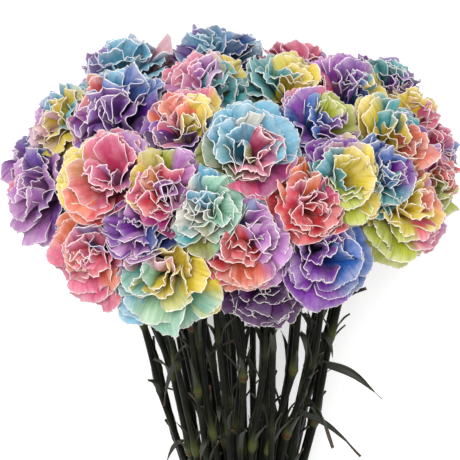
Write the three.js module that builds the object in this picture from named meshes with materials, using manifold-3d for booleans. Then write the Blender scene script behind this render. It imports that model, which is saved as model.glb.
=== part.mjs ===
// A bunch of cut carnations, gathered by a rubber band and laid on its side on a table.
// Units are millimetres. The bunch is designed upright and then laid down:
//   across = to the right, out = towards the side that faces up once it lies down, up = towards the blooms.
// The plane up = 0 passes through the widest part of the dome of blooms.
import * as THREE from "three";
import Module from "manifold-3d";
import { mergeVertices } from "three/addons/utils/BufferGeometryUtils.js";

const wasm = await Module();
wasm.setup();

// ---- driving dimensions -------------------------------------------------------------------
const CLEARANCE = 0.4; // gap between neighbouring pieces

const BLOOM_DIAMETER = 74; // a bloom of size 1, before its neighbours press on it
const BLOOM_HEIGHT = 46; // from the calyx mouth to the crown
const BLOOM_SIDES = 10;
const SEAT_SHARE = 0.44; // the bloom's middle above the calyx mouth, as a share of its height

const CALYX_LENGTH = 26;
const CALYX_MOUTH = 13; // diameter where the petals come out
const CALYX_FOOT = 8; // diameter where it grows out of the stem
const CALYX_SIDES = 6;

const STEM_DIAMETER = 6;
const STEM_SIDES = 6;
const FREE_PLACES = [0.22, 0.43, 0.62, 0.78, 0.9]; // where a stem may bend, from the band to its neck
const STEM_KEEPS_OFF = 0.55; // how far into a neighbour's bloom a stem may press, as a share of its radius
const SETTLE_ROUNDS = 100;
const STEM_PRESS = 0.15; // how deep the middle stems press into each other at the band

const BAND_DEPTH = 385; // the band's distance below the widest part of the dome
const BAND_WIDTH = 7;
const BAND_THICKNESS = 1.6;
const BAND_SIDES = 36;
const CUT_LENGTH = 100; // stem left below the band
const CUT_SPREAD = 1.18; // how far the stems spread again at their cut ends
const STRAIGHT_AT_BAND = 22; // length over which a stem runs straight through the band
const SWEEP_AT_CALYX = 16; // length over which a stem turns into its calyx

const BAND_PLACE = { across: 17, out: 15 }; // where the band sits beside the dome's own middle
const FACING_POINT = { across: 0, out: 20, up: -48 }; // the blooms face away from this point
const OUTER_TURN = -155; // degrees from out to the first outer stem, which serves the back left bloom
const TABLE_DEPTH = 112; // from the dome's middle to the table, measured at up = 0

const LEAF_WIDTH = 9;
const LEAF_THICKNESS = 0.9;
const LEAF_STEPS = 8; // steps along a leaf
const LEAF_SIDES = 8;
const LEAF_DROOP = 0.7; // how far the tip hangs below the leaf's first line, as a share of its length

// ---- where the blooms sit -----------------------------------------------------------------
// Each is [across, out, up, size], with the middle of the bloom's ball at that place.
// The outer eighteen are listed going round the bunch from the back left, and each has a stem
// of its own. The inner nineteen share the core of stems: the middle one, six round it, then twelve.
const OUTER_BLOOMS = [
  [-45, -95, 40, 1], // back left, on the table
  [-98, -82, 22, 1],
  [-140, -42, 5, 1],
  [-141, 25, -10, 1.06], // far left
  [-95, 115, -20, 1], // low left
  [-62, 130, 12, 0.86],
  [-45, 135, -28, 1.12], // lowest at the front
  [-14, 140, 28, 0.9],
  [16, 142, 4, 1],
  [27, 130, -42, 0.84], // under the front row
  [70, 132, -14, 0.95],
  [130, 86, 4, 1.06], // low right
  [154, 42, 4, 0.84],
  [158, -4, 28, 0.9], // far right
  [140, -62, 24, 1],
  [100, -86, 45, 1],
  [52, -96, 35, 1], // back right, on the table
  [2, -98, 45, 1],
];
const INNER_BLOOMS = [
  [-15, 25, 95, 1.02], // the top
  [-10, -45, 95, 1],
  [-80, -35, 85, 1.06],
  [-85, 50, 80, 1.1],
  [-30, 90, 78, 0.96],
  [70, 70, 75, 1],
  [60, -40, 88, 0.96],
  [-125, 5, 58, 0.96],
  [-85, 110, 44, 1.04],
  [-45, 130, 40, 0.94],
  [15, 112, 66, 1.14], // the large one at the front
  [60, 130, 30, 0.94],
  [85, 114, 46, 0.94],
  [115, 92, 38, 0.86],
  [122, 55, 56, 1.06],
  [95, 5, 82, 1.04],
  [142, -15, 58, 0.92],
  [130, -38, 76, 0.88],
  [45, 20, 92, 1.02],
];
// Each is [stem number, place from the band (0) to the calyx (1), turn from out in degrees, length].
const LEAVES = [
  [13, 0.5, 75, 52],
  [12, 0.42, 60, 56],
  [13, 0.43, 25, 48],
];

// ---- materials ----------------------------------------------------------------------------
const finish = (color, roughness) => new THREE.MeshStandardMaterial({ color, roughness, metalness: 0 });
const STEM_GREEN = finish(0x2b3326, 0.55);
const LEAF_GREEN = finish(0x39412c, 0.6);
const BAND_TAN = finish(0xb58f5c, 0.6);
const PETAL_DYES = [0x8b5fbf, 0x4f9fc8, 0xd8cf4a, 0xd9647e, 0x7bbfa5].map((dye) => finish(dye, 0.7));

// ---- solids -------------------------------------------------------------------------------
const up = new THREE.Vector3(0, 0, 1);
// The design frame's own axes: x is across, y runs away from out, z is up.
const at = (x, out, z) => new THREE.Vector3(x, -out, z);

function solid(geometry) {
  const bare = geometry.index ? geometry.toNonIndexed() : geometry.clone();
  bare.deleteAttribute("normal");
  bare.deleteAttribute("uv");
  const merged = mergeVertices(bare, 1e-3);
  return new wasm.Manifold(
    new wasm.Mesh({
      numProp: 3,
      vertProperties: merged.attributes.position.array,
      triVerts: new Uint32Array(merged.index.array),
    }),
  );
}

function mesh(name, shape, material) {
  const { vertProperties, triVerts } = shape.getMesh();
  const geometry = new THREE.BufferGeometry();
  geometry.setAttribute("position", new THREE.BufferAttribute(vertProperties, 3));
  geometry.setIndex(new THREE.BufferAttribute(triVerts, 1));
  geometry.computeVertexNormals();
  const made = new THREE.Mesh(geometry, material);
  made.name = name;
  return made;
}

// A turned body whose profile is [radius, height] pairs, standing at foot and pointing along axis.
function turned(profile, sides, foot, axis) {
  const points = profile.map(([radius, height]) => new THREE.Vector2(radius, height));
  const lie = new THREE.Quaternion().setFromUnitVectors(new THREE.Vector3(0, 1, 0), axis);
  return solid(
    new THREE.LatheGeometry(points, sides)
      .applyQuaternion(lie)
      .translate(foot.x, foot.y, foot.z),
  );
}

// The biggest of the bodies that a cut leaves, so that no loose crumb stays.
function biggestBody(shape) {
  return shape.decompose().reduce((best, body) => (body.volume() > best.volume() ? body : best));
}

const nearby = (a, b) => {
  const p = a.boundingBox();
  const q = b.boundingBox();
  return [0, 1, 2].every((k) => p.min[k] < q.max[k] && q.min[k] < p.max[k]);
};

// ---- how each carnation stands ------------------------------------------------------------
// Slots of the packed stems at the band: one, six and twelve pressed together, then eighteen round them.
const stemPitch = STEM_DIAMETER * (1 - STEM_PRESS);
const outerPitch = STEM_DIAMETER + CLEARANCE;
const coreRadius = 2 * stemPitch;
const outerRadius = Math.max(
  coreRadius + outerPitch,
  outerPitch / (2 * Math.sin(Math.PI / OUTER_BLOOMS.length)),
);

function slot(radius, turn) {
  const angle = THREE.MathUtils.degToRad(turn);
  return { across: radius * Math.sin(angle), out: radius * Math.cos(angle) };
}
function innerSlot(i) {
  if (i === 0) return slot(0, 0);
  if (i <= 6) return slot(stemPitch, -180 + 60 * (i - 1));
  return slot(coreRadius, -150 + 30 * (i - 7));
}
const outerSlot = (i) => slot(outerRadius, OUTER_TURN + (360 / OUTER_BLOOMS.length) * i);

// A smooth line through its places, on which the steps of an extrusion fall on the places themselves.
class StemLine extends THREE.CatmullRomCurve3 {
  getUtoTmapping(u) {
    return u;
  }
}

// A carnation's places run from its cut end to the foot of its calyx. The first three are held by the band.
const HELD = 3;
function carnation([x, out, z, size], place) {
  const middle = at(x, out, z);
  const facing = middle.clone().sub(at(FACING_POINT.across, FACING_POINT.out, FACING_POINT.up)).normalize();
  const seatDepth = SEAT_SHARE * BLOOM_HEIGHT * size;
  const foot = middle.clone().addScaledVector(facing, -seatDepth - CALYX_LENGTH);
  const neck = foot.clone().addScaledVector(facing, -SWEEP_AT_CALYX);
  const band = at(BAND_PLACE.across + place.across, BAND_PLACE.out + place.out, -BAND_DEPTH);
  const cut = at(
    BAND_PLACE.across + place.across * CUT_SPREAD,
    BAND_PLACE.out + place.out * CUT_SPREAD,
    -BAND_DEPTH - CUT_LENGTH,
  );
  const aboveBand = band.clone().addScaledVector(up, STRAIGHT_AT_BAND);
  const rise = FREE_PLACES.map((share) => aboveBand.clone().lerp(neck, share));
  return { middle, size, seatDepth, places: [cut, band, aboveBand, ...rise, neck, foot] };
}
const facingOf = ({ middle, places }) => middle.clone().sub(places.at(-1)).normalize();
const seatOf = (flower) => flower.middle.clone().addScaledVector(facingOf(flower), -flower.seatDepth);

// The straight lengths of a carnation that others can press on, the calyx last.
function lengthsOf(flower) {
  const ends = [...flower.places, seatOf(flower)];
  return ends.slice(1).map((end, k) => ({
    line: new THREE.Line3(ends[k], end),
    radius: k === ends.length - 2 ? CALYX_MOUTH / 2 : STEM_DIAMETER / 2,
    from: k >= HELD ? flower.places[k] : null,
    to: k + 1 >= HELD ? flower.places[k + 1] : null,
  }));
}

const onFirst = new THREE.Vector3();
const onSecond = new THREE.Vector3();
function push(length, point, move) {
  const share = length.line.closestPointToPointParameter(point, true);
  length.from?.addScaledVector(move, 1 - share);
  length.to?.addScaledVector(move, share);
}
function pushLengths(a, b) {
  const room = a.radius + b.radius + CLEARANCE;
  if (a.line.distanceSqToLine3(b.line, onFirst, onSecond) >= room * room) return;
  const apart = onFirst.clone().sub(onSecond);
  const move = apart.clone().setLength((room - apart.length()) / 2);
  push(a, onFirst, move);
  push(b, onSecond, move.negate());
}
function pushOffBloom(length, { middle, size }) {
  const room = length.radius + STEM_KEEPS_OFF * (BLOOM_DIAMETER / 2) * size;
  length.line.closestPointToPoint(middle, true, onFirst);
  const apart = onFirst.clone().sub(middle);
  if (apart.length() < room) push(length, onFirst, apart.setLength(room - apart.length()));
}

// Stems that would run through each other push each other aside. They stay as straight as they can,
// except that each one turns into its calyx.
function settle(all) {
  for (let round = 0; round < SETTLE_ROUNDS; round++) {
    all.forEach((flower, i) => {
      all.slice(i + 1).forEach((other) => {
        const theirs = lengthsOf(other);
        lengthsOf(flower).forEach((a) => theirs.forEach((b) => pushLengths(a, b)));
      });
      all.forEach((other) => {
        if (other !== flower) lengthsOf(flower).forEach((length) => pushOffBloom(length, other));
      });
    });
    const pulling = round < 0.8 * SETTLE_ROUNDS;
    all.forEach(({ places, middle, seatDepth }) => {
      const foot = places.at(-1);
      const facing = middle.clone().sub(foot).normalize();
      foot.copy(middle).addScaledVector(facing, -seatDepth - CALYX_LENGTH);
      if (!pulling) return;
      places.at(-2).lerp(foot.clone().addScaledVector(facing, -SWEEP_AT_CALYX), 0.5);
      places.at(-3).lerp(foot.clone().addScaledVector(facing, -2.5 * SWEEP_AT_CALYX), 0.15);
      for (let k = HELD; k < places.length - 2; k++) {
        places[k].lerp(places[k - 1].clone().lerp(places[k + 1], 0.5), 0.3);
      }
    });
  }
}

const outer = OUTER_BLOOMS.map((bloom, i) => carnation(bloom, outerSlot(i)));
const inner = INNER_BLOOMS.map((bloom, i) => carnation(bloom, innerSlot(i)));
const flowers = [...outer, ...inner];
settle(flowers);

// A stem with its calyx. swell makes both thicker, for cutting room around them.
function stemOf(flower, swell = 0) {
  const facing = facingOf(flower);
  const foot = flower.places.at(-1);
  const root = foot.clone().addScaledVector(facing, 1);
  const line = new StemLine([...flower.places.slice(0, -1), root], false, "centripetal");
  const section = new THREE.Shape();
  const radius = STEM_DIAMETER / 2 + swell;
  for (let k = 0; k < STEM_SIDES; k++) {
    const angle = (2 * Math.PI * k) / STEM_SIDES;
    section[k ? "lineTo" : "moveTo"](radius * Math.cos(angle), radius * Math.sin(angle));
  }
  const sweep = { steps: line.points.length - 1, extrudePath: line };
  const tube = solid(new THREE.ExtrudeGeometry(section, sweep));
  const calyx = turned(
    [
      [0, -swell],
      [CALYX_FOOT / 2 + swell, -swell],
      [CALYX_MOUTH / 2 + swell, 0.45 * CALYX_LENGTH],
      [CALYX_MOUTH / 2 + swell, CALYX_LENGTH - CLEARANCE + swell],
      [0, CALYX_LENGTH - CLEARANCE + swell],
    ],
    CALYX_SIDES,
    foot,
    facing,
  );
  return tube.add(calyx);
}

// A bloom's outer shape: a ball, flattened above, that narrows to the calyx mouth below.
function bloomOf(flower) {
  const { size } = flower;
  const radius = (BLOOM_DIAMETER / 2) * size;
  const height = BLOOM_HEIGHT * size;
  return turned(
    [
      [0, 0],
      [CALYX_MOUTH / 2, 0],
      [0.74 * radius, 0.21 * height],
      [0.98 * radius, 0.42 * height],
      [radius, 0.58 * height],
      [0.84 * radius, 0.81 * height],
      [0.5 * radius, 0.96 * height],
      [0, height],
    ],
    BLOOM_SIDES,
    seatOf(flower),
    facingOf(flower),
  );
}

// ---- the table ----------------------------------------------------------------------------
// The bunch rests on its back blooms and on its cut ends, which sets how far it leans.
const endRadius = outerRadius * CUT_SPREAD + STEM_DIAMETER / 2;
const cutDepth = BAND_DEPTH + CUT_LENGTH;
const lean = Math.atan2(TABLE_DEPTH + BAND_PLACE.out - endRadius, cutDepth);
const tableNormal = new THREE.Vector3(0, -Math.cos(lean), Math.sin(lean)); // away from the table
const tablePoint = at(0, -TABLE_DEPTH, 0);

// ---- the pieces ---------------------------------------------------------------------------
const stems = outer.map((flower) => stemOf(flower));
const core = inner.map((flower) => stemOf(flower)).reduce((all, stem) => all.add(stem));
const roomForStems = flowers.map((flower) => stemOf(flower, CLEARANCE));

// A bloom is pressed flat by its neighbours, by their stems and by the table.
function pressed(flower) {
  let shape = bloomOf(flower);
  const reach = (BLOOM_DIAMETER / 2) * flower.size;
  flowers.forEach((other) => {
    if (other === flower) return;
    const away = flower.middle.clone().sub(other.middle);
    const share = other.size / (flower.size + other.size);
    const wall = other.middle.clone().addScaledVector(away, share);
    away.normalize();
    shape = shape.trimByPlane(away.toArray(), wall.dot(away) + CLEARANCE / 2);
    lengthsOf(other).forEach(({ line, radius }) => {
      line.closestPointToPoint(flower.middle, true, onFirst);
      const off = flower.middle.clone().sub(onFirst);
      if (off.length() > 1.3 * reach + radius) return;
      off.normalize();
      shape = shape.trimByPlane(off.toArray(), onFirst.dot(off) + radius + CLEARANCE);
    });
  });
  return shape.trimByPlane(tableNormal.toArray(), tablePoint.dot(tableNormal));
}

function bandSolid() {
  const inside = (outerRadius + STEM_DIAMETER / 2 + CLEARANCE) / Math.cos(Math.PI / BAND_SIDES);
  const outside = inside + BAND_THICKNESS;
  const half = BAND_WIDTH / 2;
  const rounding = 0.4 * BAND_THICKNESS;
  return turned(
    [
      [inside, -half],
      [outside - rounding, -half],
      [outside, -half + rounding],
      [outside, half - rounding],
      [outside - rounding, half],
      [inside, half],
      [inside, -half],
    ],
    BAND_SIDES,
    at(BAND_PLACE.across, BAND_PLACE.out, -BAND_DEPTH),
    up,
  );
}

// A narrow leaf that grows out from its stem and droops back at its tip.
function leafOf([number, share, turn, length]) {
  const line = new StemLine(outer[number - 1].places.slice(HELD - 1), false, "centripetal");
  const root = line.getPoint(share);
  const along = line.getTangent(share);
  const side = new THREE.Vector3(0, -1, 0).applyAxisAngle(up, THREE.MathUtils.degToRad(turn));
  side.addScaledVector(along, -side.dot(along)).normalize();
  const outline = [];
  for (let k = 0; k <= LEAF_STEPS; k++) {
    const t = k / LEAF_STEPS;
    const wide = k % LEAF_STEPS ? Math.sin(Math.PI * Math.pow(t, 0.75)) : 0;
    outline.push(new THREE.Vector2((LEAF_WIDTH / 2) * wide, t * length));
  }
  const blade = new THREE.LatheGeometry(outline, LEAF_SIDES);
  blade.scale(1, 1, LEAF_THICKNESS / LEAF_WIDTH);
  const place = blade.attributes.position;
  for (let k = 0; k < place.count; k++) {
    const t = place.getY(k) / length;
    place.setZ(k, place.getZ(k) - LEAF_DROOP * length * t * t);
  }
  const broad = new THREE.Vector3().crossVectors(side, along).normalize();
  const grow = side.clone().multiplyScalar(0.95).addScaledVector(along, 0.3).normalize();
  const face = new THREE.Vector3().crossVectors(broad, grow);
  blade.applyMatrix4(new THREE.Matrix4().makeBasis(broad, grow, face));
  const start = root.addScaledVector(side, STEM_DIAMETER / 2 + CLEARANCE);
  return solid(blade.translate(start.x, start.y, start.z));
}

// ---- the bunch ----------------------------------------------------------------------------
const upright = new THREE.Group();
const numbered = (word, i) => word + "_" + String(i + 1).padStart(2, "0");
flowers.forEach((flower, i) => {
  const dye = PETAL_DYES[i % PETAL_DYES.length];
  upright.add(mesh(numbered("bloom", i), pressed(flower), dye));
});
stems.forEach((stem, i) => upright.add(mesh(numbered("stem", i), stem, STEM_GREEN)));
upright.add(mesh("inner_stems", core, STEM_GREEN));
upright.add(mesh("rubber_band", bandSolid(), BAND_TAN));
LEAVES.forEach((leaf, i) => {
  let blade = leafOf(leaf);
  roomForStems.forEach((room) => {
    if (nearby(blade, room)) blade = blade.subtract(room);
  });
  upright.add(mesh(numbered("leaf", i), biggestBody(blade), LEAF_GREEN));
});

// Laid on its back, so that out points up from the table and the blooms point along +Y.
upright.rotation.x = -(Math.PI / 2 - lean);
const bunch = new THREE.Group();
bunch.add(upright);
const box = new THREE.Box3().setFromObject(bunch, true);
upright.position.set(-(box.min.x + box.max.x) / 2, -(box.min.y + box.max.y) / 2, -box.min.z);

export default bunch;
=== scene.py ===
"""A bunch of rainbow-dyed cut carnations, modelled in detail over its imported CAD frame."""

import math

import bpy
import numpy as np
from mathutils import Matrix, Vector


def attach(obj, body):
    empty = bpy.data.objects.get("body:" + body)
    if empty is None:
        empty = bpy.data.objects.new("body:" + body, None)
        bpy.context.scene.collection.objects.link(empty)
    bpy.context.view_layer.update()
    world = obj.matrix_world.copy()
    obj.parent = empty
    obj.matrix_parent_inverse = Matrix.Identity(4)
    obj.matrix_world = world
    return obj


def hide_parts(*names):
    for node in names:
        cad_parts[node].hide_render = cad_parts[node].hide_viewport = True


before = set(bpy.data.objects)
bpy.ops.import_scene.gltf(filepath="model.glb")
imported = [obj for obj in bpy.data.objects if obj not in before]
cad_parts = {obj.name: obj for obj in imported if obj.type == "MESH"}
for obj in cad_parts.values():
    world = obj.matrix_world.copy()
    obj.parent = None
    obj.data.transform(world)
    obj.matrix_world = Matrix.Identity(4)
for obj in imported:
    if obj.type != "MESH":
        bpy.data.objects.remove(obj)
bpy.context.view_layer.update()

bl_info = {
    "name": "Rainbow Carnation Bunch",
    "version": (1, 0, 0),
    "blender": (4, 5, 0),
    "location": "3D Viewport > Sidebar > Carnations",
    "description": "Models the blooms, stems, leaves and band of a bunch of dyed carnations",
    "category": "Object",
}

MM = 0.001


def srgb(red, green, blue):
    """A colour given in 0 to 255 display values, as the linear values that Blender works in."""
    return tuple(((c / 255 + 0.055) / 1.055) ** 2.4 if c > 10 else c / 3295 for c in (red, green, blue))


# ---------------------------------------------------------------- settings


def dye(name, red, green, blue):
    return bpy.props.FloatVectorProperty(
        name=name, description=f"The {name.lower()} dye", subtype="COLOR", size=3, min=0, max=1,
        default=srgb(red, green, blue),
    )


DYES = "VPLMKHRSNYGOATCBDW"


class CarnationDyes(bpy.types.PropertyGroup):
    V: dye("Violet", 144, 56, 180)
    P: dye("Plum", 96, 22, 112)
    L: dye("Lilac", 210, 144, 214)
    M: dye("Magenta", 186, 58, 140)
    K: dye("Rose pink", 242, 116, 158)
    H: dye("Pale pink", 250, 200, 212)
    R: dye("Crimson", 232, 54, 80)
    S: dye("Salmon", 252, 142, 110)
    N: dye("Orange", 252, 136, 56)
    Y: dye("Yellow", 255, 230, 84)
    G: dye("Lime", 206, 214, 48)
    O: dye("Olive", 160, 164, 72)
    A: dye("Mint", 180, 228, 204)
    T: dye("Teal", 70, 180, 184)
    C: dye("Light blue", 122, 200, 228)
    B: dye("Blue", 56, 122, 200)
    D: dye("Deep blue", 36, 78, 156)
    W: dye("White", 246, 242, 230)


class CarnationSizes(bpy.types.PropertyGroup):
    petal_thickness: bpy.props.FloatProperty(
        name="Petal thickness", description="Thickness of one petal",
        default=0.35 * MM, min=0.1 * MM, unit="LENGTH",
    )
    margin_width: bpy.props.FloatProperty(
        name="Pale margin", description="Width of the undyed edge of a petal, in millimetres",
        default=0.4, min=0, max=5,
    )
    tooth: bpy.props.FloatProperty(
        name="Teeth", description="Depth of the pinking along a petal's edge, in millimetres",
        default=1.0, min=0, max=4,
    )
    ruffle: bpy.props.FloatProperty(
        name="Ruffle", description="How strongly the petals are ruffled",
        default=1.0, min=0, max=2, subtype="FACTOR",
    )
    stem_radius: bpy.props.FloatProperty(
        name="Stem radius", description="Radius of a stem between its joints",
        default=2.75 * MM, min=1 * MM, max=4 * MM, unit="LENGTH",
    )
    joint_swell: bpy.props.FloatProperty(
        name="Joint swell", description="How far a stem's joints stand out",
        default=0.9 * MM, min=0, unit="LENGTH",
    )
    seed: bpy.props.IntProperty(name="Seed", description="Start of every random choice", default=7)


def sizes():
    return bpy.context.scene.carnation_sizes


def dye_table():
    dyes = bpy.context.scene.carnation_dyes
    return {letter: np.array(getattr(dyes, letter)) for letter in DYES}


# Each bloom's dyes clockwise from its top as the bunch is looked at, then its heart's. Six to a line.
BLOOM_DYES = """
    LVBTAY-LV KRNYGT-KY CBVLKS-BL BLVVLLKL-VLL BBKSKKKN-KKS VLDLVV-LV
    HYYAACTV-HYYA CAAAOTWW-CAWW CLLLSRMM-LLRR PPPPPP-PP MBBBVVVP-VBVV YSLKGGYY-YSYY
    LRGGRK-RG BTGRKK-KB VBTGYK-VB YNRKLV-YN LKRSYA-KL TCBVLA-CT
    HYTTTLKK-LTLK BCDBCVLB-BCD HCCCCLVV-CCVV CBVVVMRN-BVVVR KYBBVPVS-SYVK KGGGVVBV-GGVB
    KVVSKKLK-KVKK CYTYYHLL-CYHL KLKKRNYY-KLKK GLLMMKYY-RLRK CCCMKOOC-WWKKHOCC NRRRRRRN-KR
    VYYYGGTV-YYGT BVVVTTTB-BVTB TTVVSYYY-TVSSYY LYYYBCKV-VTYBBV VYYKKKVY-YK VLTTVVVT-TV
    TYNYYYTT-YYYT
""".split()

# The numbers of the blooms whose few inner petals have opened wide.
OPEN_BLOOMS = {4, 7, 11, 12, 24, 25, 27, 31, 33, 34, 37}


# ---------------------------------------------------------------- reading the frame


def read_points(mesh):
    points = np.empty(3 * len(mesh.vertices))
    mesh.vertices.foreach_get("co", points)
    return points.reshape(-1, 3)


def node_points(name):
    return np.unique(read_points(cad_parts[name].data).round(6), axis=0)


def unit(vector):
    return vector / np.linalg.norm(vector)


def units(rows):
    return rows / np.linalg.norm(rows, axis=1)[:, None]


def smooth(x, low=0.0, high=1.0):
    x = np.clip((x - low) / (high - low), 0, 1)
    return x * x * (3 - 2 * x)


# A bloom of size 1, as its plain solid has it.
BLOOM_RADIUS = 37 * MM
BLOOM_HEIGHT = 46 * MM
SEAT_TO_MIDDLE = 0.44 * BLOOM_HEIGHT
SMALLEST, LARGEST = 0.8, 1.2  # scales that a bloom may have
SEAT_DISC = 124.17  # area in square millimetres of the flat disc by which a bloom sits on its calyx
SEAT_FACES = 10  # triangles in that disc


def flat_faces(name):
    """The flat faces of a solid, as lists of the triangles that lie in one plane."""
    faces = []
    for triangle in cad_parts[name].data.polygons:
        for normal, centre, found in faces:
            off = abs((triangle.center - centre).dot(normal))
            if triangle.normal.dot(normal) > 0.9998 and off < 0.05 * MM:
                found.append(triangle)
                break
        else:
            faces.append((triangle.normal, triangle.center, [triangle]))
    return faces


def read_bloom(name):
    """A bloom's seat on its calyx, the way it faces and its scale beside a bloom of size 1."""
    discs = [
        (sum(part.area for part in found), normal, found)
        for normal, _, found in flat_faces(name)
        if len(found) == SEAT_FACES
    ]
    area, normal, found = min(discs, key=lambda disc: abs(disc[0] / MM**2 - SEAT_DISC))
    seat = np.array(sum((part.center * part.area for part in found), Vector()) / area)
    facing = -unit(np.array(normal))
    offsets = node_points(name) - seat
    height = offsets @ facing
    radius = np.linalg.norm(offsets - np.outer(height, facing), axis=1)
    scale = max(height.max() / BLOOM_HEIGHT, radius.max() / BLOOM_RADIUS)
    return {"name": name, "seat": seat, "facing": facing, "scale": min(max(scale, SMALLEST), LARGEST)}


CALYX_LENGTH = 26 * MM
NECK_LENGTH = 16 * MM  # over which a stem turns into its calyx
RING_REACH = 8.4 * MM  # wider than a ring of a stem's points, and less than from ring to ring


def read_stem(name, bloom):
    """The middle of each ring of a stem's mesh, from its cut end to the foot of its calyx."""
    points = node_points(name)
    height = (points - bloom["seat"]) @ bloom["facing"]
    beside = np.linalg.norm(points - bloom["seat"] - np.outer(height, bloom["facing"]), axis=1)
    of_calyx = (height > -CALYX_LENGTH + 1 * MM) & (beside < 9 * MM)
    left = points[~of_calyx]
    nearest = left[np.argmin(left[:, 1])]
    middles = []
    while len(left):
        close = np.linalg.norm(left - nearest, axis=1) < RING_REACH
        middles.append(left[close].mean(axis=0))
        left = left[~close]
        if len(left):
            nearest = left[np.argmin(np.linalg.norm(left - middles[-1], axis=1))]
    return np.array(middles)


BLOOMS = [read_bloom(f"bloom_{k:02d}") for k in range(1, 38)]
OUTER_STEMS = [read_stem(f"stem_{k:02d}", BLOOMS[k - 1]) for k in range(1, 19)]

# The way the bunch runs, the side that faces up, and the middle of the stems at the band.
ALONG = unit(np.mean([places[2] - places[1] for places in OUTER_STEMS], axis=0))
ACROSS = np.array([1.0, 0.0, 0.0])
OUT = np.cross(ACROSS, ALONG)
BAND_MIDDLE = np.mean([places[1] for places in OUTER_STEMS], axis=0)
CUT_MIDDLE = np.mean([places[0] for places in OUTER_STEMS], axis=0)
OUTER_RADIUS = np.mean([np.linalg.norm(places[1] - BAND_MIDDLE) for places in OUTER_STEMS])

# The camera looks down on the bunch, tipped this far towards its blooms.
VIEW_RISE = math.radians(22)
TO_CAMERA = math.cos(VIEW_RISE) * OUT + math.sin(VIEW_RISE) * ALONG
IMAGE_UP = math.cos(VIEW_RISE) * ALONG - math.sin(VIEW_RISE) * OUT

# The middle of the dome of blooms, from the place of the band.
DOME_MIDDLE = BAND_MIDDLE + (385 * ALONG - 17 * ACROSS - 15 * OUT) * MM


def turn_bloom(bloom):
    """Settles a bloom into the dome and tips it about its middle: near blooms open towards the light."""
    middle = bloom["seat"] + bloom["facing"] * SEAT_TO_MIDDLE * bloom["scale"]
    height = (middle - DOME_MIDDLE) @ IMAGE_UP
    low_side = smooth(abs(middle[0]), 95 * MM, 150 * MM) * smooth(-height, -25 * MM, 15 * MM)
    middle = middle - ALONG * (0.13 * (height - 5 * MM) - 12 * MM * low_side)
    toward = bloom["facing"] @ TO_CAMERA
    if toward > -0.2:
        lean = np.random.default_rng(int(bloom["name"][-2:])).normal(0, 0.09, 3)
        lean += (0.3 + 0.3 * low_side) * TO_CAMERA
        bloom["facing"] = unit(bloom["facing"] + smooth(toward, -0.2, 0.2) * lean)
    bloom["seat"] = middle - bloom["facing"] * SEAT_TO_MIDDLE * bloom["scale"]
    bloom["middle"] = middle


for bloom in BLOOMS:
    turn_bloom(bloom)
for places, bloom in zip(OUTER_STEMS, BLOOMS):
    places[-1] = bloom["seat"] - bloom["facing"] * CALYX_LENGTH
    places[-2] = places[-1] - bloom["facing"] * NECK_LENGTH


def aside(turn):
    """The way square to the bunch's length at a turn from the side that faces up."""
    return math.sin(turn) * ACROSS + math.cos(turn) * OUT


# ---------------------------------------------------------------- mesh helpers


def operator(call, **kwargs):
    result = call(**kwargs)
    if "FINISHED" not in result:
        raise RuntimeError(f"{call} did not finish: {result}")


def only(piece):
    bpy.ops.object.select_all(action="DESELECT")
    piece.select_set(True)
    bpy.context.view_layer.objects.active = piece


def finish_modifiers(piece):
    only(piece)
    for modifier in list(piece.modifiers):
        operator(bpy.ops.object.modifier_apply, modifier=modifier.name)


def smooth_line(places, per_span):
    """A centripetal curve through the places, with per_span points in each span."""
    ends = np.vstack([2 * places[0] - places[1], places, 2 * places[-1] - places[-2]])
    points = []
    for k in range(1, len(ends) - 2):
        p0, p1, p2, p3 = ends[k - 1 : k + 3]
        t1 = max(np.linalg.norm(p1 - p0) ** 0.5, 1e-6)
        t2 = t1 + max(np.linalg.norm(p2 - p1) ** 0.5, 1e-6)
        t3 = t2 + max(np.linalg.norm(p3 - p2) ** 0.5, 1e-6)
        for t in np.linspace(t1, t2, per_span, endpoint=False):
            a1 = (t1 - t) / t1 * p0 + t / t1 * p1
            a2 = (t2 - t) / (t2 - t1) * p1 + (t - t1) / (t2 - t1) * p2
            a3 = (t3 - t) / (t3 - t2) * p2 + (t - t2) / (t3 - t2) * p3
            b1 = (t2 - t) / t2 * a1 + t / t2 * a2
            b2 = (t3 - t) / (t3 - t1) * a2 + (t - t1) / (t3 - t1) * a3
            points.append((t2 - t) / (t2 - t1) * b1 + (t - t1) / (t2 - t1) * b2)
    points.append(places[-1])
    return np.array(points)


def run_lengths(points):
    return np.r_[0, np.cumsum(np.linalg.norm(np.diff(points, axis=0), axis=1))]


def read_off(at, lengths, values):
    """The rows of values, given at some lengths, read off at others."""
    return np.stack([np.interp(at, lengths, values[:, k]) for k in range(3)], axis=1)


def even_line(points, step):
    """The same line with points the same distance apart, and how far along it each is."""
    lengths = run_lengths(points)
    at = np.linspace(0, lengths[-1], max(3, int(lengths[-1] / step) + 1))
    return read_off(at, lengths, points), at


def store(mesh, name, values):
    """Keeps a colour or a number for each point of the mesh, to be read by its material."""
    if values.ndim > 1:
        layer = mesh.attributes.new(name, "FLOAT_COLOR", "POINT")
        layer.data.foreach_set("color", np.c_[values, np.ones(len(values))].ravel())
    else:
        mesh.attributes.new(name, "FLOAT", "POINT").data.foreach_set("value", values)


def corner_points(mesh):
    """The number of the point at each face corner."""
    corner = np.empty(len(mesh.loops), dtype=np.int32)
    mesh.loops.foreach_get("vertex_index", corner)
    return corner


def lay_uv(mesh, name, places):
    """Gives each corner of the mesh the map place of its point."""
    layer = mesh.uv_layers.new(name=name)
    layer.data.foreach_set("uv", places[corner_points(mesh)].ravel())


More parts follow.
